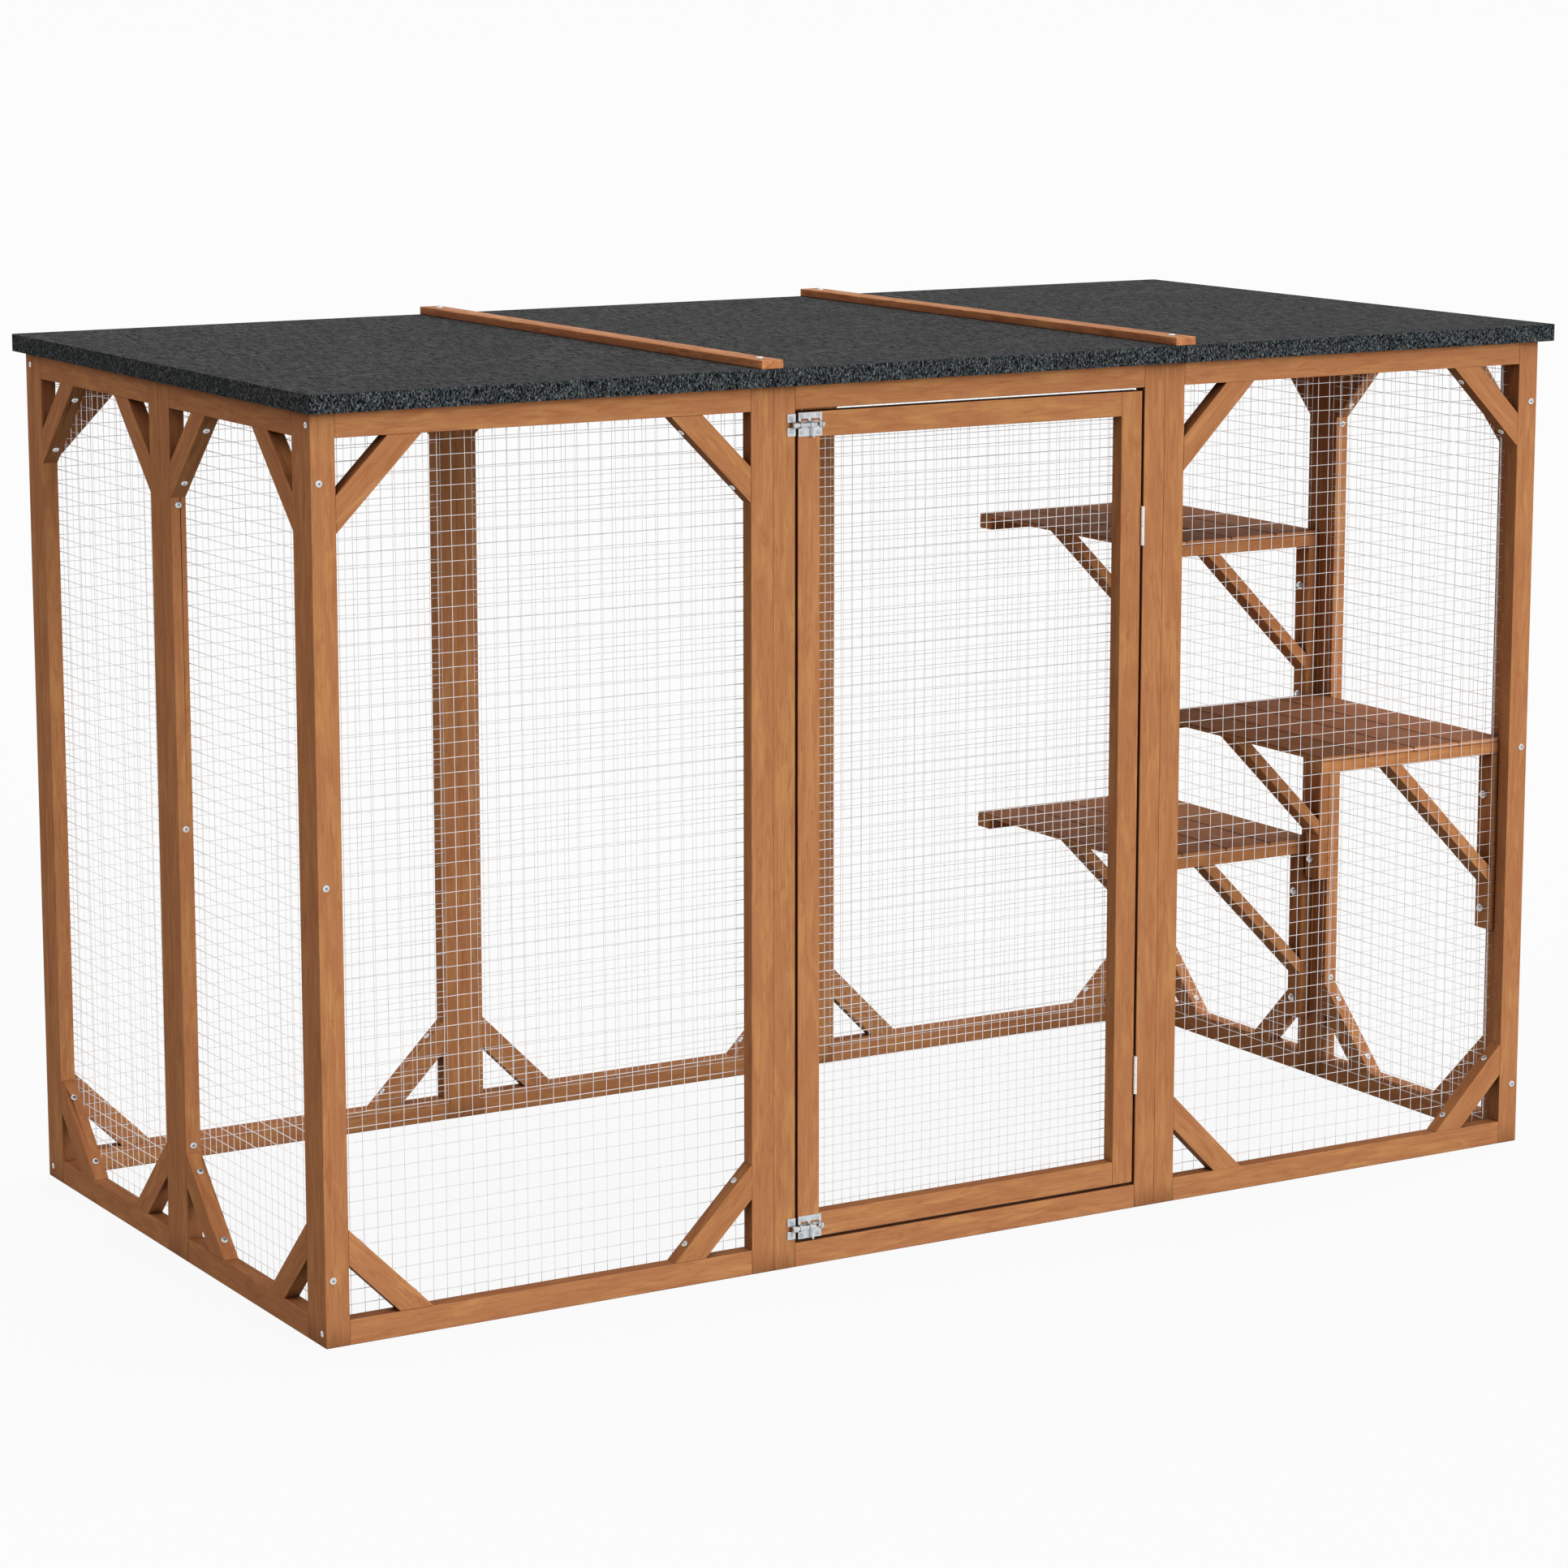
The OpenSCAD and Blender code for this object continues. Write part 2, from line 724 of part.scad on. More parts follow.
// Slots that the press leaves in a plate: one above the rod between each two straps, and one behind its end
module plate_slots() {
    for (i = [0, 1])
        plate_slot(strap_x[i] + strap_w, strap_x[i + 1], strap_outer_r);
    plate_slot(rod_end_x, end_strap_x, -slot_h / 2);
}

// A slot between the given ends along the rod, upwards from z
module plate_slot(start, end, z) {
    translate([start + slot_margin, -plate_t - cut, z])
        cube([end - start - 2 * slot_margin, plate_t + 2 * cut, slot_h]);
}

module bolt_plates() {
    color(zinc)
        at_bolts() {
            difference() {
                translate([0, -plate_t, -plate_h / 2]) cube([plate_w, plate_t, plate_h]);
                plate_slots();
            }
            for (x = strap_x) strap(x, strap_w);
        }
}

module bolt_keepers() {
    square_h = keeper_h / 2 - strap_outer_r + plate_t;
    color(zinc)
        at_bolts()
            translate([-door_gap, 0, 0]) {
                for (z = [-keeper_h / 2, keeper_h / 2 - square_h])
                    translate([-keeper_w, -plate_t, z])
                        cube([keeper_w, plate_t, square_h]);
                strap(-bridge_w, bridge_w);
            }
}

module bolt_rod() {
    on_rod_axis() translate([0, 0, rod_tip_x]) cylinder(h = rod_end_x - rod_tip_x, r = rod_r);
    translate([tab_x, -plate_t - strap_r - tab_t, -tab_drop])
        cube([tab_w, tab_t, tab_drop]);
}

module lower_bolt_rod() color(zinc) at_bolt(0) bolt_rod();
module upper_bolt_rod() color(zinc) at_bolt(1) bolt_rod();

module brace_screws() {
    color(zinc) {
        on_all_front() brace_screws_at(end_panel_w);
        for (i = [left_panel : right_panel]) on_back(i) brace_screws_at(panel_w[i]);
        on_both_sides() brace_screws_at(side_panel_w);
    }
}

module rail_screws() {
    color(zinc) {
        for (i = [left_panel : right_panel]) {
            on_front(i) rail_screws_at(panel_w[i]);
            on_back(i) rail_screws_at(panel_w[i]);
        }
        on_both_sides() rail_screws_at(side_panel_w);
    }
}

module door_rail_screws() color(zinc) on_door() rail_screws_at(door_w, 0, door_h);

module assembly_screws() {
    color(zinc) {
        corner_screws();
        side_joint_screws();
        for (back = [0, 1]) wall_joint_screws(back);
    }
}

module batten_screws() color(zinc) batten_screws_at();

front_left_stiles();
front_left_rails();
front_left_mesh();
doorway_stiles();
doorway_rails();
front_right_stiles();
front_right_rails();
front_right_mesh();
back_left_stiles();
back_left_rails();
back_left_mesh();
back_middle_stiles();
back_middle_rails();
back_middle_mesh();
back_right_stiles();
back_right_rails();
back_right_mesh();
left_wall_front_stiles();
left_wall_front_rails();
left_wall_front_mesh();
left_wall_back_stiles();
left_wall_back_rails();
left_wall_back_mesh();
right_wall_front_stiles();
right_wall_front_rails();
right_wall_front_mesh();
right_wall_back_stiles();
right_wall_back_rails();
right_wall_back_mesh();
front_braces();
back_braces();
left_wall_braces();
right_wall_braces();
door_stiles();
door_rails();
door_mesh();
roof_boards();
roof_felt();
roof_battens();
lower_platform_slats();
middle_platform_slats();
top_platform_slats();
platform_arms();
platform_struts();
platform_uprights();
hinge_frame_leaves();
hinge_door_leaves();
hinge_pins();
bolt_plates();
bolt_keepers();
lower_bolt_rod();
upper_bolt_rod();
brace_screws();
rail_screws();
door_rail_screws();
assembly_screws();
batten_screws();
platform_bolts();
platform_nuts();
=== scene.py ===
import json
import math

import bmesh
import bpy
import numpy as np
from mathutils import Matrix, Vector

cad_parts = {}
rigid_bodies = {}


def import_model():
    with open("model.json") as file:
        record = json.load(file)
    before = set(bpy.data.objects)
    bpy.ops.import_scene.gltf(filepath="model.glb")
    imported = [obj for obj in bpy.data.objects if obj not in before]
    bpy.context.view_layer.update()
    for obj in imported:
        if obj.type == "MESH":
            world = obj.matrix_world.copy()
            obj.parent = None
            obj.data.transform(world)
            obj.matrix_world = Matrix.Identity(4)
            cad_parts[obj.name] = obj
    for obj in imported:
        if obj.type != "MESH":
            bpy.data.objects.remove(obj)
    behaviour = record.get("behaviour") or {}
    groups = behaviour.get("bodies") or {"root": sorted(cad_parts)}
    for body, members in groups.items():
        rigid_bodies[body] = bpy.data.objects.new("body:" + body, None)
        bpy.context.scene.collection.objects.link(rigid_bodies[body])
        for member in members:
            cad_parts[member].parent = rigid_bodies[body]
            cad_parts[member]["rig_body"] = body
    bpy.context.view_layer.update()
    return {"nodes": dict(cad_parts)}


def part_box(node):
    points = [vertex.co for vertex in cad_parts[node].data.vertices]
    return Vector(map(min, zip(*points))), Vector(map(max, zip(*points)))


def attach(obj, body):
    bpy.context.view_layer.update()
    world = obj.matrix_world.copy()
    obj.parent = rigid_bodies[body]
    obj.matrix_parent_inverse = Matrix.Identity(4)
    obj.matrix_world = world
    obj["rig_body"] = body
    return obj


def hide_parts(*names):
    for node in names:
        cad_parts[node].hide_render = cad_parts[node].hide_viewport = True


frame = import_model()
nodes = frame["nodes"]
MM = 0.001

# The scene: camera, lights, floor and world

# The camera as fitted to the photograph, a square of this many pixels: its focal length, and how far
# below the top the optical centre lies
FRAME_PX = 1932
FOCAL_PX = 5483.6
CENTRE_Y_PX = 870.0
SENSOR_MM = 36.0
CAMERA_AT = Vector((-3.0109, -5.0285, 1.6360))
# Degrees: turned to the right from straight back, tipped down, rolled
CAMERA_YAW = 30.7989
CAMERA_PITCH = 9.8073
CAMERA_ROLL = 0.0112
CAMERA_REACH = 200


def place_camera():
    yaw, pitch, roll = (math.radians(a) for a in (CAMERA_YAW, CAMERA_PITCH, CAMERA_ROLL))
    forward = Vector((math.sin(yaw) * math.cos(pitch), math.cos(yaw) * math.cos(pitch), -math.sin(pitch)))
    level = Vector((math.cos(yaw), -math.sin(yaw), 0))
    down = forward.cross(level)
    right = math.cos(roll) * level + math.sin(roll) * down
    up = -(math.cos(roll) * down - math.sin(roll) * level)
    turn = Matrix((right, up, -forward)).transposed()
    data = bpy.data.cameras.new("camera")
    data.sensor_width = SENSOR_MM
    data.lens = FOCAL_PX / FRAME_PX * SENSOR_MM
    data.shift_y = (CENTRE_Y_PX - FRAME_PX / 2) / FRAME_PX
    data.clip_end = CAMERA_REACH
    camera = bpy.data.objects.new("camera", data)
    bpy.context.scene.collection.objects.link(camera)
    camera.matrix_world = Matrix.Translation(CAMERA_AT) @ turn.to_4x4()
    bpy.context.scene.camera = camera


place_camera()
bpy.context.scene.view_settings.view_transform = "Standard"


def linear(r, g, b):
    """An 8-bit screen colour as the shader takes it."""
    out = []
    for v in (r / 255, g / 255, b / 255):
        out.append(v / 12.92 if v <= 0.04045 else ((v + 0.055) / 1.055) ** 2.4)
    return (*out, 1.0)


class Shader:
    """A node tree, with short calls for the kinds of node that are used most."""

    def __init__(self, tree):
        self.tree = tree
        tree.nodes.clear()

    def node(self, kind, *values, **named):
        n = self.tree.nodes.new(kind)
        sockets = dict(enumerate(values))
        for key, value in named.items():
            if key in n.inputs:
                sockets[key] = value
            else:
                setattr(n, key, value)
        for key, value in sockets.items():
            if isinstance(value, bpy.types.NodeSocket):
                self.tree.links.new(value, n.inputs[key])
            elif value is not None:
                n.inputs[key].default_value = value
        return n

    def math(self, operation, a, b=None, c=None):
        return self.node("ShaderNodeMath", a, b, c, operation=operation).outputs[0]

    def vector(self, operation, a, b=None):
        n = self.node("ShaderNodeVectorMath", a, b, operation=operation)
        return n.outputs["Value" if operation in ("DOT_PRODUCT", "LENGTH") else "Vector"]

    def scaled(self, v, factor):
        n = self.node("ShaderNodeVectorMath", v, operation="SCALE")
        if isinstance(factor, bpy.types.NodeSocket):
            self.tree.links.new(factor, n.inputs["Scale"])
        else:
            n.inputs["Scale"].default_value = factor
        return n.outputs["Vector"]

    def noise(self, v, scale, detail=2.0, rough=0.5, distortion=0.0):
        n = self.node("ShaderNodeTexNoise", Vector=v, Scale=scale, Detail=detail, Roughness=rough)
        n.inputs["Distortion"].default_value = distortion
        return n.outputs[0]

    def cells(self, v, scale):
        """A random value for each cell."""
        colour = self.node("ShaderNodeTexVoronoi", Vector=v, Scale=scale).outputs["Color"]
        return self.node("ShaderNodeSeparateColor", colour).outputs[0]

    def band(self, value, low, high, to_low=0.0, to_high=1.0):
        """value from low to high becomes to_low to to_high, held at the ends."""
        n = self.node("ShaderNodeMapRange", value, low, high, to_low, to_high)
        n.clamp = True
        return n.outputs[0]

    def mix(self, factor, a, b, blend="MIX"):
        n = self.tree.nodes.new("ShaderNodeMix")
        n.data_type = "RGBA"
        n.blend_type = blend
        for index, value in ((0, factor), (6, a), (7, b)):
            if isinstance(value, bpy.types.NodeSocket):
                self.tree.links.new(value, n.inputs[index])
            else:
                n.inputs[index].default_value = value
        return n.outputs[2]

    def attribute(self, name, output="Vector"):
        n = self.tree.nodes.new("ShaderNodeAttribute")
        n.attribute_name = name
        return n.outputs[output]

    def axes(self, v):
        return self.node("ShaderNodeSeparateXYZ", v).outputs

    def openness(self, reach, samples=8):
        """1 in the open, and less where another surface stands within reach."""
        return self.node("ShaderNodeAmbientOcclusion", Distance=reach, samples=samples).outputs["AO"]

    def bump(self, height, strength, distance):
        return self.node("ShaderNodeBump", Height=height, Strength=strength, Distance=distance).outputs[0]

    def finish(self, shader, kind="ShaderNodeOutputMaterial"):
        out = self.tree.nodes.new(kind)
        self.tree.links.new(shader, out.inputs["Surface"])


def material(name):
    m = bpy.data.materials.new(name)
    m.use_nodes = True
    return m, Shader(m.node_tree)


# What the camera, metal and glass see behind the object, and the light that falls on it from all round
BACKDROP = 0.972
SKY_LIGHT = (0.753, 0.647, 0.586)


def seen_ray(s):
    """1 for the rays of the camera, of reflections and of glass."""
    path = s.tree.nodes.new("ShaderNodeLightPath")
    seen = s.math("MAXIMUM", path.outputs["Is Camera Ray"], path.outputs["Is Glossy Ray"])
    return s.math("MAXIMUM", seen, path.outputs["Is Transmission Ray"])


def make_world():
    world = bpy.data.worlds.new("studio")
    bpy.context.scene.world = world
    world.use_nodes = True
    s = Shader(world.node_tree)
    backdrop = s.node("ShaderNodeBackground", (1, 1, 1, 1), BACKDROP).outputs[0]
    light = s.node("ShaderNodeBackground", (*SKY_LIGHT, 1), 1.0).outputs[0]
    sky = s.node("ShaderNodeMixShader", seen_ray(s), light, backdrop).outputs[0]
    s.finish(sky, "ShaderNodeOutputWorld")


def sun(name, towards, strength, soft_degrees, shines=True):
    data = bpy.data.lights.new(name, "SUN")
    data.energy = strength
    data.angle = math.radians(soft_degrees)
    lamp = bpy.data.objects.new(name, data)
    lamp.rotation_euler = Vector(towards).to_track_quat("Z", "Y").to_euler()
    lamp.visible_glossy = shines
    bpy.context.scene.collection.objects.link(lamp)


# Each sun: where it stands, its strength and its width in degrees
FRONT_SUN = ((0.33, -0.93, 0.08), 2.68, 38)
TOP_SUN = ((0.30, 0.10, 0.95), 0.93, 25)
SUN_ON_FLOOR = sum(
    Vector(towards).normalized().z * energy for towards, energy, _ in (FRONT_SUN, TOP_SUN)
) / math.pi
FLOOR_REACH = 60.0
FLOOR_DROP = 0.2 * MM
# Share of the light that the floor throws back on the object, and that it shows the camera, which sees
# a glow besides, so that the open floor is as bright as the backdrop
FLOOR_PALE = 0.03
FLOOR_SHADED = 0.05
FLOOR_GLOW = tuple(BACKDROP - FLOOR_SHADED * (sky + SUN_ON_FLOOR) for sky in SKY_LIGHT)


def grey_paper(s, level):
    return s.node("ShaderNodeBsdfDiffuse", (level, level, level, 1)).outputs[0]


def make_floor():
    mesh = bpy.data.meshes.new("floor")
    around = ((-1, -1), (1, -1), (1, 1), (-1, 1))
    corners = [(x * FLOOR_REACH, y * FLOOR_REACH, -FLOOR_DROP) for x, y in around]
    mesh.from_pydata(corners, [], [(0, 1, 2, 3)])
    floor = bpy.data.objects.new("floor", mesh)
    bpy.context.scene.collection.objects.link(floor)
    m, s = material("floor_paper")
    glow = s.node("ShaderNodeEmission", (*FLOOR_GLOW, 1), 1.0).outputs[0]
    seen = s.node("ShaderNodeAddShader", grey_paper(s, FLOOR_SHADED), glow).outputs[0]
    s.finish(s.node("ShaderNodeMixShader", seen_ray(s), grey_paper(s, FLOOR_PALE), seen).outputs[0])
    mesh.materials.append(m)


make_world()
sun("front_light", *FRONT_SUN, shines=False)
sun("top_light", *TOP_SUN)
make_floor()

# Meshes: separate solids of a CAD node, and new pieces

# Corners of a CAD node that are nearer than this are one corner
WELD = 0.02 * MM
DIRECTIONS = [
    Vector(v).normalized()
    for v in ((1, 0, 0), (0, 1, 0), (0, 0, 1), (1, 0, 1), (1, 0, -1), (0, 1, 1), (0, 1, -1))
]


def solids(mesh):
    """(corner coordinates, solid number of each face, corner numbers of each solid) of a CAD node."""
    points = np.empty(len(mesh.vertices) * 3, np.float32)
    mesh.vertices.foreach_get("co", points)
    points = points.reshape(-1, 3).astype(float)
    places, merged = np.unique(np.round(points / WELD).astype(np.int64), axis=0, return_inverse=True)
    merged = merged.reshape(-1)
    edges = np.empty(len(mesh.edges) * 2, np.int32)
    mesh.edges.foreach_get("vertices", edges)
    a, b = merged[edges.reshape(-1, 2)].T
    label = np.arange(len(places))
    # Joined corners take the lowest number among them, until nothing changes
    while True:
        lower = label.copy()
        np.minimum.at(lower, a, label[b])
        np.minimum.at(lower, b, label[a])
        lower = lower[lower]
        if np.array_equal(lower, label):
            break
        label = lower
    names, number = np.unique(label, return_inverse=True)
    number = number.reshape(-1)[merged]
    starts = np.empty(len(mesh.polygons), np.int32)
    mesh.polygons.foreach_get("loop_start", starts)
    corners = np.empty(len(mesh.loops), np.int32)
    mesh.loops.foreach_get("vertex_index", corners)
    groups = [np.nonzero(number == i)[0] for i in range(len(names))]
    return points, number[corners[starts]], groups


def long_axis(points):
    """The direction a solid runs in, out of the level, upright and 45 degree ones."""
    reach = [np.ptp(points @ np.array(d)) for d in DIRECTIONS]
    return DIRECTIONS[int(np.argmax(reach))]


def new_piece(name, verts, faces, smooth=False):
    mesh = bpy.data.meshes.new(name)
    mesh.from_pydata([tuple(v) for v in verts], [], [tuple(f) for f in faces])
    mesh.update()
    if smooth:
        mesh.shade_smooth()
    piece = bpy.data.objects.new(name, mesh)
    bpy.context.scene.collection.objects.link(piece)
    return piece


def set_material(piece, m):
    if len(piece.material_slots) == 0:
        piece.data.materials.append(m)
    for slot in piece.material_slots:
        slot.link = "OBJECT"
        slot.material = m


# Timber

# The pith lies this far to one side of a timber's middle, and the grain runs a little off its length
PITH_NEAR = 18 * MM
PITH_FAR = 55 * MM
GRAIN_LEAN = 0.006
RING_PITCH = 4.2 * MM
RING_WANDER = 40 * MM
GRAIN_DEPTH = 0.25 * MM
# Moves the pattern of each timber away from the others'
PATTERN_SPREAD = 37.0
# How near another surface stands where painted shade darkens joints and corners
JOINT_REACH = 14 * MM
CORNER_REACH = 65 * MM
# Painted shade along a slat's long edges, for the shadow in the seam, is full up to the first and ends at
# the second
SEAM_FULL = 0.9 * MM
SEAM_END = 2.6 * MM
PORE_BROWN = linear(112, 66, 38)
END_GRAIN = linear(140, 86, 50)
# Colour of the painted shade in the seams between slats
SEAM_SHADE = linear(58, 28, 18)
# Colours of the painted shade in joints and in corners
JOINT_SHADE = linear(60, 26, 12)
CORNER_SHADE = linear(66, 30, 14)
RANDOM_SEED = 7
rng = np.random.default_rng(RANDOM_SEED)


def add_grain(piece):
    """Gives each solid of the piece its own grain direction, pith, tone and sides, as face attributes."""
    corners, face_solid, groups = solids(piece.data)
    grain = np.zeros((len(groups), 3))
    pith = np.zeros((len(groups), 3))
    tone = np.zeros(len(groups))
    sides = np.zeros((len(groups), 3))
    for i, group in enumerate(groups):
        points = corners[group]
        along = np.array(long_axis(points))
        grain[i] = along + rng.normal(0, GRAIN_LEAN, 3)
        grain[i] /= np.linalg.norm(grain[i])
        side = np.cross(along, rng.normal(size=3))
        side /= np.linalg.norm(side)
        middle = (points.min(0) + points.max(0)) / 2
        pith[i] = middle + side * rng.uniform(PITH_NEAR, PITH_FAR)
        tone[i] = rng.uniform(-1, 1)
        sides[i] = points[:, 0].min(), points[:, 0].max(), 0
    fields = (("grain_dir", grain), ("grain_pith", pith), ("grain_sides", sides), ("grain_tone", tone))
    for name, values in fields:
        kind, field = ("FLOAT", "value") if values.ndim == 1 else ("FLOAT_VECTOR", "vector")
        attribute = piece.data.attributes.new(name, kind, "FACE")
        attribute.data.foreach_set(field, values[face_solid].astype(np.float32).reshape(-1))


def wood_patterns(s, at, ring_pitch):
    """(late wood, fibres, pores, figure, patches) of each solid, about its own pith."""
    grain = s.attribute("grain_dir")
    pith = s.attribute("grain_pith")
    along = s.vector("DOT_PRODUCT", at, grain)
    seed = s.scaled(pith, PATTERN_SPREAD)

    def stretched(keep):
        """Coordinates in which features are 1/keep times longer along the grain."""
        shorter = s.scaled(grain, s.math("MULTIPLY", along, keep - 1))
        return s.vector("ADD", s.vector("ADD", at, shorter), seed)

    slow = stretched(keep=0.17)
    fibres = stretched(keep=0.04)
    away = s.vector("SUBTRACT", at, pith)
    along_pith = s.vector("DOT_PRODUCT", away, grain)
    radius = s.vector("LENGTH", s.vector("SUBTRACT", away, s.scaled(grain, along_pith)))
    drift = s.math("SUBTRACT", s.noise(slow, scale=16, detail=2, rough=0.5), 0.5)
    wander = s.math("MULTIPLY", drift, RING_WANDER)
    ring = s.math("MULTIPLY", s.math("ADD", radius, wander), 2 * math.pi / ring_pitch)
    late_wood = s.math("POWER", s.band(s.math("SINE", ring), -1, 1), 2.5)
    fibre = s.noise(fibres, scale=380, detail=3, rough=0.6)
    pores = s.noise(fibres, scale=1300, detail=2, rough=0.6)
    figure = s.noise(slow, scale=125, detail=3, rough=0.6, distortion=1.2)
    patch = s.noise(slow, scale=62, detail=2, rough=0.55, distortion=0.8)
    return late_wood, fibre, pores, figure, patch


def slat_seams(s, at, up):
    """How much painted shade lies along the long edges of slats, which lie side by side across the width,
    on faces that look up.
    """
    x = s.axes(at)[0]
    sides = s.axes(s.attribute("grain_sides"))
    to_edge = s.math("MINIMUM", s.math("SUBTRACT", x, sides[0]), s.math("SUBTRACT", sides[1], x))
    return s.math("MULTIPLY", s.band(to_edge, SEAM_FULL, SEAM_END, 0.8, 0.0), s.band(up, 0.2, 0.6))


def painted_joint_shade(s, colour, corner_share, level_too):
    """The colour with painted shade in joints and corners, where other surfaces stand close by."""
    colour = s.mix(s.band(s.openness(JOINT_REACH), 0.12, 0.55, 0.85, 0.0), colour, JOINT_SHADE)
    share = s.band(s.openness(CORNER_REACH), 0.42, 0.78, corner_share, 0.0)
    if not level_too:
        # Stiles and braces get painted shade in the corners, rails do not
        rise = s.axes(s.attribute("grain_dir"))[2]
        share = s.math("MULTIPLY", s.band(s.math("ABSOLUTE", rise), 0.3, 0.65), share)
    return s.mix(share, colour, CORNER_SHADE)


def timber_material(
    name, base, dark, light, ring_share, figure_share, ring_pitch=RING_PITCH, painted_top_shading=None,
    tone_share=0.03, slats=False, corner_share=0.55, level_too=False,
):
    """Stained softwood, with painted shade in joints and corners. level_too gives level pieces that
    painted shade too where something stands close by.
    """
    m, s = material(name)
    coords = s.tree.nodes.new("ShaderNodeTexCoord")
    at = coords.outputs["Object"]
    late_wood, fibre, pores, figure, patch = wood_patterns(s, at, ring_pitch)

    colour = s.mix(s.band(patch, 0.46, 0.66, 0.0, 0.8), base, light)
    colour = s.mix(s.band(figure, 0.50, 0.68, 0.0, figure_share), colour, dark)
    colour = s.mix(s.band(fibre, 0.46, 0.72, 0.0, 0.36), colour, dark)
    colour = s.mix(s.math("MULTIPLY", late_wood, ring_share), colour, dark)
    colour = s.mix(s.band(pores, 0.58, 0.76, 0.0, 0.16), colour, PORE_BROWN)
    facing_grain = s.vector("DOT_PRODUCT", coords.outputs["Normal"], s.attribute("grain_dir"))
    end_face = s.band(s.math("ABSOLUTE", facing_grain), 0.80, 0.95)
    end_colour = s.mix(s.band(late_wood, 0.1, 0.9, 0.0, 0.6), base, END_GRAIN)
    colour = s.mix(s.math("MULTIPLY", end_face, 0.16), colour, end_colour)
    up = s.axes(coords.outputs["Normal"])[2]
    # Faces that look up get painted top shading: painted shade under the roof for the fir and the decks,
    # and a cooler, less saturated top on the battens, painted for the sky's light on them
    if painted_top_shading:
        colour = s.mix(s.band(up, 0.4, 0.95), colour, s.mix(1.0, colour, painted_top_shading, "MULTIPLY"))
    if slats:
        # Painted shade in the seams between slats
        colour = s.mix(slat_seams(s, at, up), colour, SEAM_SHADE)
    tone = s.attribute("grain_tone", "Fac")
    level = s.math("MULTIPLY_ADD", tone, tone_share, 1.0)
    blue_level = s.math("MULTIPLY_ADD", tone, tone_share * 1.6, 1.0)
    shade = s.node("ShaderNodeCombineColor", level, level, blue_level).outputs[0]
    colour = s.mix(1.0, colour, shade, "MULTIPLY")
    colour = painted_joint_shade(s, colour, corner_share, level_too)

    height = s.math("ADD", s.math("MULTIPLY", fibre, 0.7), s.math("MULTIPLY", pores, 0.3))
    height = s.math("SUBTRACT", height, s.math("MULTIPLY", late_wood, 0.2))
    normal = s.bump(height, 0.35, GRAIN_DEPTH)
    rough = s.band(fibre, 0.3, 0.7, 0.62, 0.78)
    look = {"Base Color": colour, "Roughness": rough, "Normal": normal, "Specular IOR Level": 0.09}
    s.finish(s.node("ShaderNodeBsdfPrincipled", **look).outputs[0])
    return m


timber = timber_material(
    "stained_fir", linear(190, 132, 89), linear(166, 106, 68), linear(206, 152, 98),
    ring_share=0.15, figure_share=0.5, painted_top_shading=(0.74, 0.68, 0.64, 1),
)
# The battens: a cooler top painted for the sky's light on it, and strong painted shade on level pieces
# where they stand close to the felt
batten = timber_material(
    "batten_fir", linear(205, 140, 97), linear(164, 98, 59), linear(232, 170, 114),
    ring_share=0.22, figure_share=0.8, painted_top_shading=(0.75, 0.83, 0.91, 1), corner_share=0.8, level_too=True,
)
# A lighter copy of the stained fir for the platform timbers: painted light that makes up for the shade
# inside the cage
shelving = timber_material(
    "shelf_fir", linear(194, 135, 89), linear(172, 110, 68), linear(210, 154, 101),
    ring_share=0.15, figure_share=0.5,
)
# The decks: a lighter copy too, painted light for the shade inside, with painted shade on their tops and
# in the seams between slats
decking = timber_material(
    "deck_fir", linear(199, 140, 97), linear(174, 112, 74), linear(212, 157, 106),
    ring_share=0.14, figure_share=0.4, ring_pitch=5 * MM, painted_top_shading=(0.60, 0.55, 0.56, 1),
    tone_share=0.15, slats=True,
)

EDGE_ROUND = 0.9 * MM
SLAT_ROUND = 1.6 * MM
# Degrees: faces that meet flatter than the first are one face, edges sharper than the second are broken
FLAT_TURN = 1
EDGE_TURN = 50


def round_edges(piece, width=EDGE_ROUND):
    """Breaks the sharp edges of a CAD node, so that timbers meet in a fine dark line."""
    weld = piece.modifiers.new("join_faces", "WELD")
    weld.merge_threshold = WELD
    flat = piece.modifiers.new("whole_faces", "DECIMATE")
    flat.decimate_type = "DISSOLVE"
    flat.angle_limit = math.radians(FLAT_TURN)
    bevel = piece.modifiers.new("broken_edges", "BEVEL")
    bevel.width = width
    bevel.segments = 2
    bevel.limit_method = "ANGLE"
    bevel.angle_limit = math.radians(EDGE_TURN)
    bevel.use_clamp_overlap = False


def timber_of(name):
    if name.startswith("platform_"):
        return shelving
    return batten if name == "roof_battens" else timber


TIMBER_WORDS = ("_stiles", "_rails", "_braces", "_battens", "_arms", "_struts", "_uprights")
for name, node in nodes.items():
    if name.endswith(TIMBER_WORDS) or name == "roof_boards":
        add_grain(node)
        round_edges(node)
        set_material(node, timber_of(name))
    elif name.endswith("_slats"):
        add_grain(node)
        round_edges(node, SLAT_ROUND)
        set_material(node, decking)

# Roof felt

# The granules on the rim are drawn out upwards, and the nap on top from front to back. The turns come
# after that, so they pick the pattern and not the way that it runs
DROP_SCALE = (1.0, 1.0, 0.48)
DROP_TURN = (0.3, 0.3, 0.0)
NAP_SCALE = (1.0, 0.24, 1.0)
NAP_TURN = (0.0, 0.0, math.radians(31))
FELT_WARP = 3 * MM
FELT_RELIEF = 1.2 * MM
NAP_DARK = linear(6, 8, 9)
NAP_LIGHT = linear(68, 71, 73)
NAP_THREAD = linear(106, 110, 111)
NAP_FLECK = linear(128, 129, 130)
NAP_CLOUD = linear(40, 46, 50)
RIM_DARK = linear(7, 12, 14)
RIM_LIGHT = linear(88, 97, 102)
RIM_FLECK = linear(138, 146, 149)
RIM_PIT = linear(14, 17, 19)


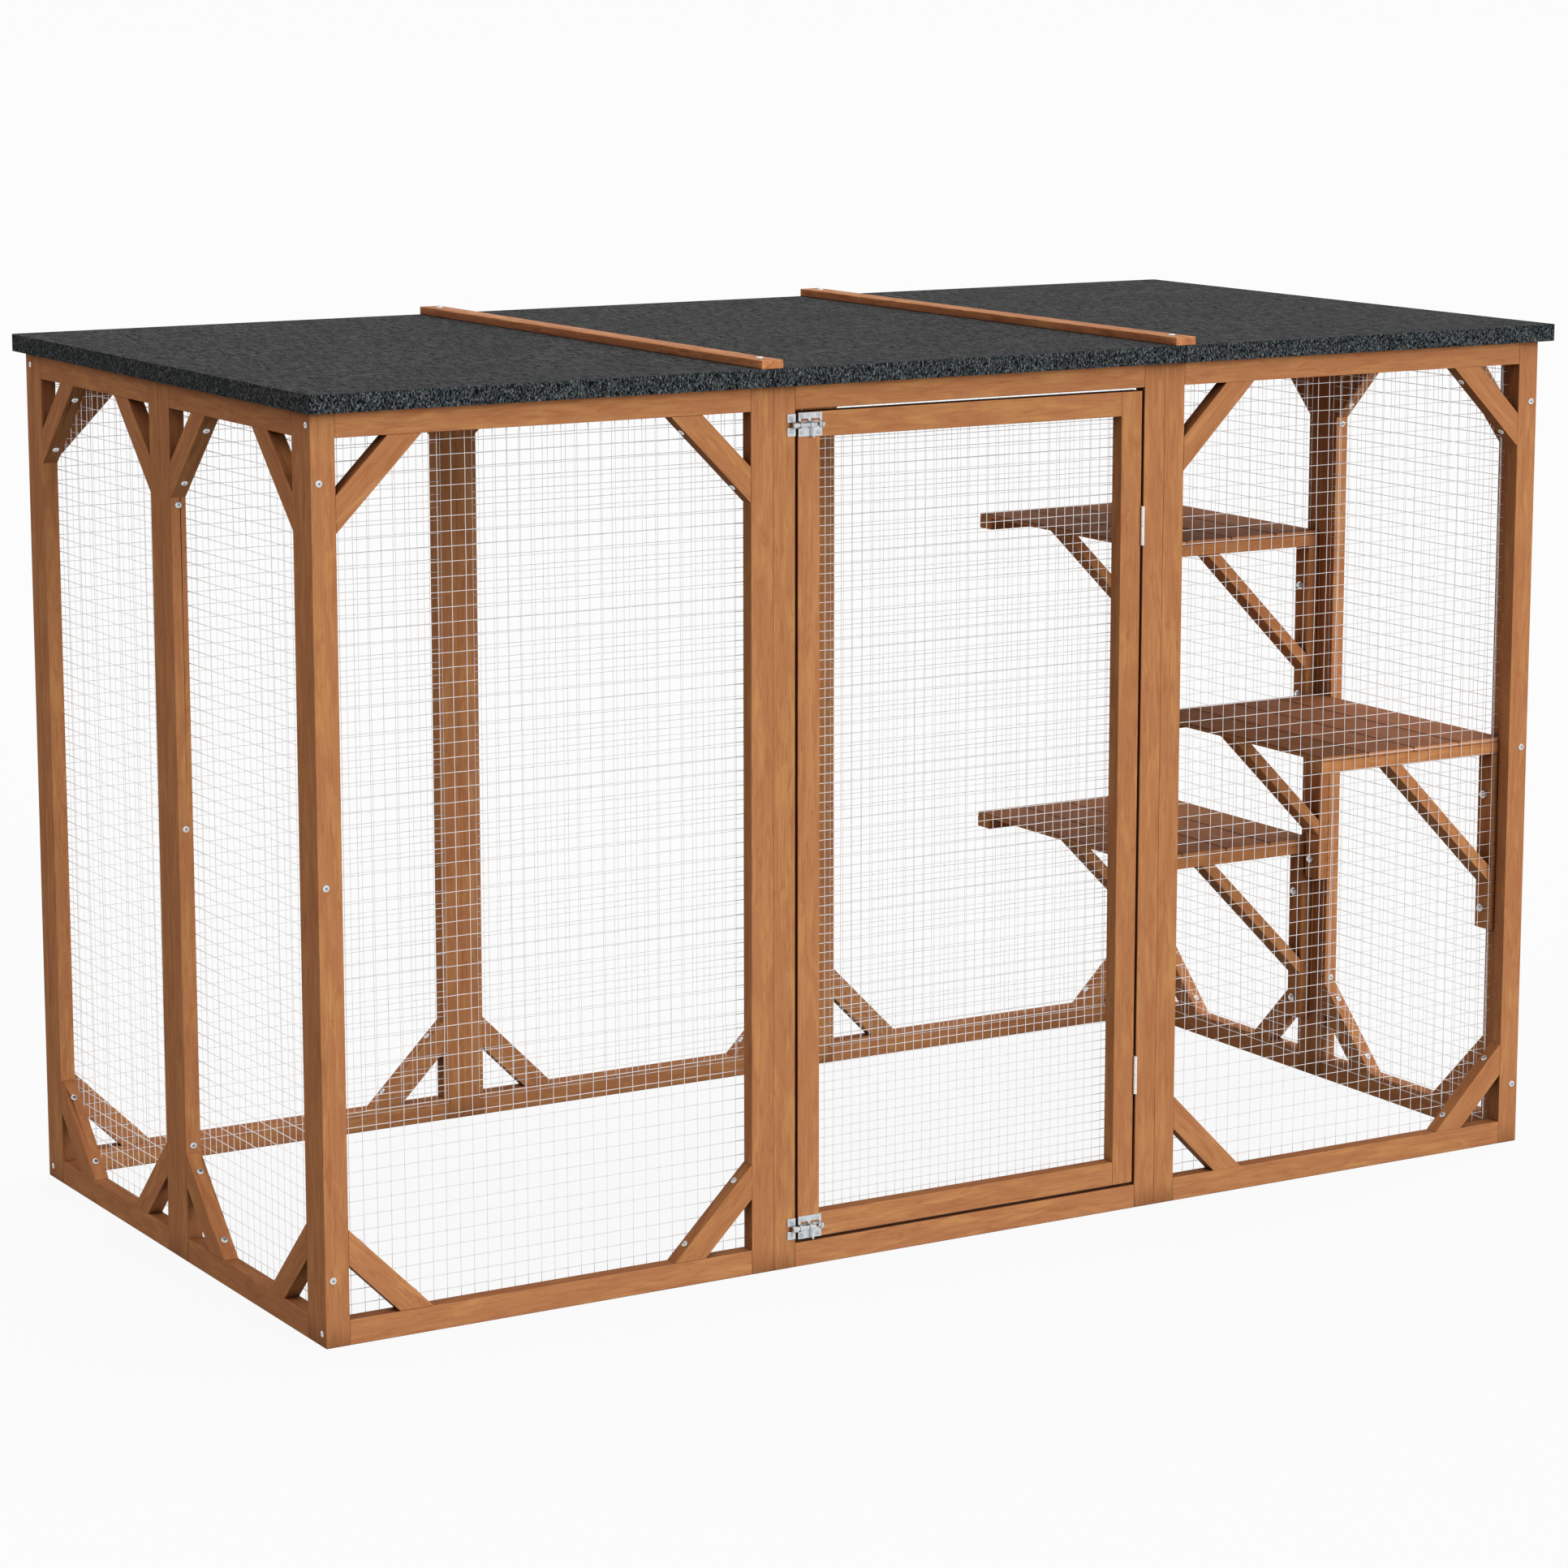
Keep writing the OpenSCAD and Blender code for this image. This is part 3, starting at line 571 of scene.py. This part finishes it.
def felt_material():
    m, s = material("mineral_felt")
    coords = s.tree.nodes.new("ShaderNodeTexCoord")
    at = coords.outputs["Object"]
    up = s.axes(coords.outputs["Normal"])[2]
    top = s.band(up, 0.3, 0.7)
    drops = s.node("ShaderNodeMapping", Vector=at, Scale=DROP_SCALE, Rotation=DROP_TURN).outputs[0]
    bend = s.node("ShaderNodeTexNoise", Vector=at, Scale=150).outputs["Color"]
    warped = s.vector("ADD", drops, s.scaled(bend, FELT_WARP))
    fine = s.cells(at, scale=700)
    coarse = s.cells(warped, scale=850)
    lumps = s.noise(warped, scale=620, detail=2, rough=0.65)
    nap = s.node("ShaderNodeMapping", Vector=at, Scale=NAP_SCALE, Rotation=NAP_TURN).outputs[0]
    grain = s.noise(nap, scale=190, detail=3, rough=0.65, distortion=0.5)
    curl = s.noise(nap, scale=330, detail=1, rough=0.5, distortion=1.0)
    thread = s.band(s.math("ABSOLUTE", s.math("SUBTRACT", curl, 0.5)), 0.0, 0.05, 1.0, 0.0)
    broad = s.noise(at, scale=9, detail=3, rough=0.6)
    top_colour = s.mix(s.band(grain, 0.42, 0.59), NAP_DARK, NAP_LIGHT)
    top_colour = s.mix(s.math("MULTIPLY", thread, 0.55), top_colour, NAP_THREAD)
    top_colour = s.mix(s.band(fine, 0.90, 0.96, 0, 0.5), top_colour, NAP_FLECK)
    top_colour = s.mix(s.band(broad, 0.35, 0.7, 0, 0.35), top_colour, NAP_CLOUD)
    rim_colour = s.mix(s.band(lumps, 0.45, 0.61), RIM_DARK, RIM_LIGHT)
    rim_colour = s.mix(s.band(coarse, 0.85, 0.92, 0, 0.75), rim_colour, RIM_FLECK)
    rim_colour = s.mix(s.band(fine, 0.0, 0.5, 0.45, 0), rim_colour, RIM_PIT)
    colour = s.mix(top, rim_colour, top_colour)
    height = s.mix(top, s.math("MULTIPLY", lumps, 1.6), grain)
    normal = s.bump(height, 0.9, FELT_RELIEF)
    look = {"Base Color": colour, "Roughness": 0.85, "Normal": normal, "Specular IOR Level": 0.03}
    s.finish(s.node("ShaderNodeBsdfPrincipled", **look).outputs[0])
    return m


set_material(nodes["roof_felt"], felt_material())

# Metal

RECESS_REACH = 3 * MM
ZINC_RELIEF = 0.12 * MM
SPANGLE_GREY = linear(168, 172, 178)
RECESS_SHADE = linear(40, 42, 46)


def metal_material(name, base, tint, rough_low, rough_high, metallic=0.85, spangle_share=0.25):
    m, s = material(name)
    at = s.tree.nodes.new("ShaderNodeTexCoord").outputs["Object"]
    cloud = s.noise(at, scale=130, detail=3, rough=0.6)
    spangle = s.cells(at, scale=420)
    grit = s.noise(at, scale=1900, detail=2, rough=0.6)
    colour = s.mix(s.band(cloud, 0.35, 0.7, 0, 0.8), base, tint)
    colour = s.mix(s.band(spangle, 0, 1, 0, spangle_share), colour, SPANGLE_GREY)
    # Painted shade in recesses, where another surface stands within RECESS_REACH
    recess_shade = s.openness(RECESS_REACH, samples=16)
    colour = s.mix(s.band(recess_shade, 0.2, 0.75, 0.85, 0.0), colour, RECESS_SHADE)
    rough = s.math("ADD", s.band(cloud, 0.3, 0.7, rough_low, rough_high), s.math("MULTIPLY", grit, 0.06))
    normal = s.bump(s.math("ADD", grit, s.math("MULTIPLY", cloud, 0.6)), 0.25, ZINC_RELIEF)
    look = {"Base Color": colour, "Roughness": rough, "Normal": normal, "Metallic": metallic}
    s.finish(s.node("ShaderNodeBsdfPrincipled", **look).outputs[0])
    return m


zinc = metal_material("bright_zinc", linear(226, 229, 231), linear(190, 199, 206), 0.18, 0.36)
bright = metal_material(
    "polished_zinc", linear(250, 250, 248), linear(236, 238, 240), 0.2, 0.34,
    metallic=0.55, spangle_share=0.1,
)
steel = metal_material("fastener_steel", linear(238, 240, 241), linear(212, 217, 222), 0.16, 0.34)
wire = metal_material(
    "galvanised_wire", linear(253, 252, 251), linear(248, 247, 247), 0.34, 0.46,
    metallic=0.76, spangle_share=0.05,
)

for name in ("hinge_frame_leaves", "hinge_door_leaves", "hinge_pins"):
    set_material(nodes[name], bright)
for name in ("bolt_plates", "bolt_keepers", "lower_bolt_rod", "upper_bolt_rod"):
    set_material(nodes[name], zinc)
for name in ("platform_bolts", "platform_nuts"):
    set_material(nodes[name], steel)

# Welded mesh: every panel's net at the photo's pitch, a little uneven as it comes off the roll

# Across and up: the door has a closer mesh than the fixed panels
NET_PITCH = (18 * MM, 18 * MM)
DOOR_NET_PITCH = (13 * MM, 11.9 * MM)
WIRE_R = 0.44 * MM
UPRIGHT_WIRE_R = 0.36 * MM
WIRE_SIDES = 6
# Wires sway within the sheet and bow out of it, in waves: how many, and their shortest and longest length
NET_SWAY = 0.35 * MM
SWAY_WAVES = (5, 0.07, 0.5)
SWAY_JITTER = 0.25
NET_BULGE = 0.8 * MM
BULGE_WAVES = (4, 0.25, 0.7)
# The timber holds the net: near its rim this share of the sideways sway is left, and full sway starts
# this far in
HELD_SWAY = 0.25
NET_HELD = 70 * MM


def waves(u, v, count, shortest, longest):
    """A smooth uneven field over the net, from about -1 to 1."""
    total = np.zeros(np.broadcast(u, v).shape)
    for _ in range(count):
        turn = rng.uniform(0, 2 * math.pi)
        length = rng.uniform(shortest, longest)
        phase = rng.uniform(0, 2 * math.pi)
        total += np.sin((u * math.cos(turn) + v * math.sin(turn)) * 2 * math.pi / length + phase)
    return total / count


def tube_faces(stations, sides):
    """(side faces, end caps) of a tube that has a ring of corners at each station."""
    ring = np.arange(sides)
    faces = []
    for i in range(stations - 1):
        a = i * sides + ring
        b = i * sides + (ring + 1) % sides
        faces.append(np.stack([a, b, b + sides, a + sides], 1))
    caps = [list(ring[::-1]), list((stations - 1) * sides + ring)]
    return np.concatenate(faces), caps


def crossings(width, height, pitch):
    """(across, up, bow) of every crossing, by upright wire and then by level wire."""
    columns = np.linspace(0, width, round(width / pitch[0]) + 1)
    rows = np.linspace(0, height, round(height / pitch[1]) + 1)
    across, up = np.meshgrid(columns, rows, indexing="ij")
    edge = np.minimum(np.minimum(across, width - across), np.minimum(up, height - up))
    free = np.clip(edge / NET_HELD, 0, 1)
    free = free * free * (3 - 2 * free)
    sway_across = waves(across, up, *SWAY_WAVES) + SWAY_JITTER * rng.normal(size=edge.shape)
    sway_up = waves(across, up, *SWAY_WAVES) + SWAY_JITTER * rng.normal(size=edge.shape)
    bow = NET_BULGE * free * (0.5 + 0.5 * waves(across, up, *BULGE_WAVES))
    loose = HELD_SWAY + (1 - HELD_SWAY) * free
    return across + NET_SWAY * loose * sway_across * (edge > 0), up + NET_SWAY * free * sway_up, bow


def net(node_name):
    lo, hi = (np.array(corner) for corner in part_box(node_name))
    depth = int(np.argmin(hi - lo))
    wide = 1 - depth
    outwards = math.copysign(1, lo[depth] + hi[depth])
    timber_face = lo[depth] if outwards < 0 else hi[depth]
    size = hi - lo - 2 * WIRE_R
    pitch = DOOR_NET_PITCH if node_name == "door_mesh" else NET_PITCH
    across, up, bow = crossings(size[wide], size[2], pitch)
    verts, faces, total = [], [], 0
    angles = np.arange(WIRE_SIDES) / WIRE_SIDES * 2 * math.pi
    for upright in (True, False):
        thick = UPRIGHT_WIRE_R if upright else WIRE_R
        layer = thick if upright else 2 * UPRIGHT_WIRE_R + thick
        for i in range(across.shape[0 if upright else 1]):
            line = (i, slice(None)) if upright else (slice(None), i)
            centre = np.zeros((across[line].size, 3))
            centre[:, wide] = lo[wide] + WIRE_R + across[line]
            centre[:, 2] = lo[2] + WIRE_R + up[line]
            centre[:, depth] = timber_face - outwards * layer + outwards * bow[line]
            side = np.zeros((2, 3))
            side[0, depth] = 1
            side[1, wide if upright else 2] = 1
            ring = thick * (np.cos(angles)[:, None] * side[0] + np.sin(angles)[:, None] * side[1])
            points = (centre[:, None] + ring[None]).reshape(-1, 3)
            quads, caps = tube_faces(len(centre), WIRE_SIDES)
            verts.append(points)
            faces += (quads + total).tolist() + [[c + total for c in cap] for cap in caps]
            total += len(points)
    piece = new_piece(node_name.replace("_mesh", "_net"), np.concatenate(verts), faces, smooth=True)
    set_material(piece, wire)
    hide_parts(node_name)
    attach(piece, nodes[node_name]["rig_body"])


for name in sorted(nodes):
    if name.endswith("_mesh"):
        net(name)

# Screws: cross-recessed heads on every CAD screw

PAN_R = 4.5 * MM
PAN_H = 1.8 * MM
# Shares of the head's radius and height along the dome of a pan head
PAN_DOME = ((1.0, 0.12), (0.985, 0.42), (0.92, 0.66), (0.78, 0.84), (0.55, 0.95), (0.25, 1.0))
FLAT_R = 4.0 * MM
SHANK_R = 2.0 * MM
SINK = 0.5 * MM
HEAD_SIDES = 28
# The driver's cross: reach and width of its arms in head radii, its depth in head heights or metres, how
# far it narrows to its floor, and how far its cutter stands above the head
PAN_CROSS = (0.58, 0.24, 0.85)
FLAT_CROSS = (0.62, 0.26)
FLAT_CROSS_DEPTH = 1.7 * MM
CROSS_FLOOR = 0.45
CUTTER_PROUD = 1 * MM
# Radius of a screw's point in shank radii, and of the rings of the heads in head radii. The flat head's
# edge lies FLAT_EDGE_H below its top
POINT_SHARE = 0.3
PAN_FOOT = 0.96
FLAT_EDGE = 0.97
FLAT_EDGE_H = 0.15 * MM
FLAT_TOP = 0.93
FLAT_INNER = 0.3
# Edges that turn more than this, in degrees, are drawn sharp
CRISP_TURN = 38


def revolved(profile, sides):
    """A closed turned solid from (radius, height) points, from the bottom up."""
    turns = [k * 2 * math.pi / sides for k in range(sides)]
    verts, faces = [(0, 0, profile[0][1])], []
    for r, z in profile:
        verts += [(r * math.cos(turn), r * math.sin(turn), z) for turn in turns]
    verts.append((0, 0, profile[-1][1]))
    last = len(verts) - 1
    for k in range(sides):
        after = (k + 1) % sides
        faces.append((0, 1 + after, 1 + k))
        for level in range(len(profile) - 1):
            a = 1 + level * sides + k
            b = 1 + level * sides + after
            faces.append((a, b, b + sides, a + sides))
        faces.append((last, last - sides + k, last - sides + after))
    return verts, faces


def cross_cutter(reach, arm, depth, top):
    """A cross with tapering arms, to cut a driver recess from above."""
    half = arm / 2
    arm_end = ((half, half), (half, reach), (-half, reach))
    outline = []
    for cos, sin in ((1, 0), (0, 1), (-1, 0), (0, -1)):
        outline += [(x * cos - y * sin, x * sin + y * cos) for x, y in arm_end]
    verts = [(x, y, top + CUTTER_PROUD) for x, y in outline]
    verts += [(x * CROSS_FLOOR, y * CROSS_FLOOR, top - depth) for x, y in outline]
    count = len(outline)
    faces = [tuple(range(count)), tuple(reversed(range(count, 2 * count)))]
    faces += [(i, i + count, (i + 1) % count + count, (i + 1) % count) for i in range(count)]
    return verts, faces


def cut_mesh(body, cutter):
    """(corners, faces) of body minus cutter."""
    made = [new_piece(n, *shape) for n, shape in (("cut_body", body), ("cut_tool", cutter))]
    for piece in made:
        shell = bmesh.new()
        shell.from_mesh(piece.data)
        bmesh.ops.recalc_face_normals(shell, faces=shell.faces)
        shell.to_mesh(piece.data)
        shell.free()
    boolean = made[0].modifiers.new("recess", "BOOLEAN")
    boolean.object = made[1]
    boolean.operation = "DIFFERENCE"
    boolean.solver = "EXACT"
    cut = made[0].evaluated_get(bpy.context.evaluated_depsgraph_get())
    result = bpy.data.meshes.new_from_object(cut)
    verts = np.array([v.co for v in result.vertices])
    faces = [list(p.vertices) for p in result.polygons]
    for piece in made:
        bpy.data.objects.remove(piece)
    return verts, faces


def point_profile(shank_r, bottom):
    return [(shank_r * POINT_SHARE, bottom), (shank_r, bottom + 2 * shank_r)]


def pan_profile(r, height, shank_r, length):
    """Half outline of a pan-head screw standing on the surface at height 0."""
    shank = point_profile(shank_r, -length) + [(shank_r, 0), (r * PAN_FOOT, 0)]
    return shank + [(r * f, height * h) for f, h in PAN_DOME]


def flat_profile(r, sink, shank_r, length):
    """Half outline of a countersunk screw, its top a little below the surface."""
    neck = [(shank_r, -sink - (r - shank_r)), (r * FLAT_EDGE, -sink - FLAT_EDGE_H)]
    top = [(r * FLAT_TOP, -sink), (r * FLAT_INNER, -sink)]
    return point_profile(shank_r, -length - sink) + neck + top


def screw_frames(node_name):
    """(top of the head, direction that it faces, whole length) of each screw of a CAD node."""
    corners, _, groups = solids(nodes[node_name].data)
    frames = []
    for group in groups:
        points = corners[group]
        axis = np.array(long_axis(points))
        along = points @ axis
        flat = points - np.outer(along, axis)
        middle = (flat.min(0) + flat.max(0)) / 2
        away = np.linalg.norm(flat - middle, axis=1)
        if along[np.argmax(away)] < (along.min() + along.max()) / 2:
            axis, along = -axis, -along
        frames.append((middle + axis * along.max(), axis, np.ptp(along)))
    return frames


def put_screws(name, shape, frames, drop, body, replaced=None, m=None):
    """One piece with the shape repeated; drop is how far the shape's own zero is below the head's top."""
    verts, faces, total = [], [], 0
    base, shape_faces = shape
    for place, axis, _ in frames:
        driven = Matrix.Rotation(rng.uniform(0, math.pi / 2), 3, "Z")
        turn = Vector(axis).to_track_quat("Z", "Y").to_matrix() @ driven
        verts.append(base @ np.array(turn).T + (np.array(place) - np.array(axis) * drop))
        faces += [[c + total for c in f] for f in shape_faces]
        total += len(base)
    piece = new_piece(name, np.concatenate(verts), faces, smooth=True)
    set_material(piece, m or steel)
    split = piece.modifiers.new("crisp_edges", "EDGE_SPLIT")
    split.split_angle = math.radians(CRISP_TURN)
    if replaced:
        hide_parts(replaced)
    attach(piece, body)


def pan_shape(r, height, length):
    reach, arm, depth = PAN_CROSS
    body = revolved(pan_profile(r, height, r * SHANK_R / PAN_R, length), HEAD_SIDES)
    return cut_mesh(body, cross_cutter(r * reach, r * arm, height * depth, height))


def flat_shape(r, length):
    reach, arm = FLAT_CROSS
    body = revolved(flat_profile(r, SINK, SHANK_R, length), HEAD_SIDES)
    return cut_mesh(body, cross_cutter(r * reach, r * arm, FLAT_CROSS_DEPTH, -SINK))


for node_name in ("brace_screws", "assembly_screws", "batten_screws"):
    frames = screw_frames(node_name)
    shape = pan_shape(PAN_R, PAN_H, frames[0][2] - PAN_H)
    put_screws(node_name + "_driven", shape, frames, PAN_H, "frame", node_name)
for node_name, body in (("rail_screws", "frame"), ("door_rail_screws", "door")):
    frames = screw_frames(node_name)
    shape = flat_shape(FLAT_R, frames[0][2])
    put_screws(node_name + "_driven", shape, frames, -SINK, body, node_name)

# Small screws of the barrel bolts, and of the hinge leaves, which show when the door stands open

SMALL_R = 2.7 * MM
SMALL_H = 1.1 * MM
LEAF_R = 2.5 * MM
LEAF_H = 0.6 * MM
# Length of a small screw under its head, in head radii
SMALL_LENGTH = 2.2
FRONT = Vector((0, -1, 0))
RIGHT = Vector((1, 0, 0))
# Plates stand this far off the timber, and a leaf's face is as far from the middle of the hinge's gap
PLATE_T = 1 * MM
# The rod's axis above the end of its tab, and the screws from that axis and from the plate's sides
TAB_DROP = 15.5 * MM
PLATE_SCREW_RISE = 10.6 * MM
PLATE_SCREW_INSET = 5 * MM
KEEPER_SCREW_RISE = 8.3 * MM
HALF_HINGE = 25 * MM
# The screws of a leaf: how far in from its back edge, and how far above the hinge's middle
LEAF_SCREWS = ((4.5 * MM, -17 * MM), (9.5 * MM, 0), (4.5 * MM, 17 * MM))
LEAVES = (("hinge_door_leaves", "door", RIGHT), ("hinge_frame_leaves", "frame", -RIGHT))


def small_screws(name, places, facing, body, r, height, m):
    """Pan screws with their heads on a face at the given places."""
    frames = [(Vector(place) + facing * height, facing, 0) for place in places]
    put_screws(name, pan_shape(r, height, SMALL_LENGTH * r), frames, height, body, m=m)


face_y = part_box("doorway_stiles")[0].y - PLATE_T
rod_heights = [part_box(name)[0].z + TAB_DROP for name in ("lower_bolt_rod", "upper_bolt_rod")]
lo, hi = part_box("bolt_plates")
places = [
    (x, face_y, z + rise)
    for z in rod_heights
    for x in (lo.x + PLATE_SCREW_INSET, hi.x - PLATE_SCREW_INSET)
    for rise in (-PLATE_SCREW_RISE, PLATE_SCREW_RISE)
]
small_screws("bolt_plate_screws", places, FRONT, "door", SMALL_R, SMALL_H, zinc)
lo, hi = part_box("bolt_keepers")
places = [
    ((lo.x + hi.x) / 2, face_y, z + rise)
    for z in rod_heights
    for rise in (-KEEPER_SCREW_RISE, KEEPER_SCREW_RISE)
]
small_screws("bolt_keeper_screws", places, FRONT, "frame", SMALL_R, SMALL_H, zinc)

for node_name, body, facing in LEAVES:
    lo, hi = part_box(node_name)
    face_x = (lo.x + hi.x) / 2 - facing.x * PLATE_T
    middles = (lo.z + HALF_HINGE, hi.z - HALF_HINGE)
    places = [(face_x, hi.y - inset, z + rise) for z in middles for inset, rise in LEAF_SCREWS]
    small_screws(node_name.replace("_leaves", "_screws"), places, facing, body, LEAF_R, LEAF_H, bright)
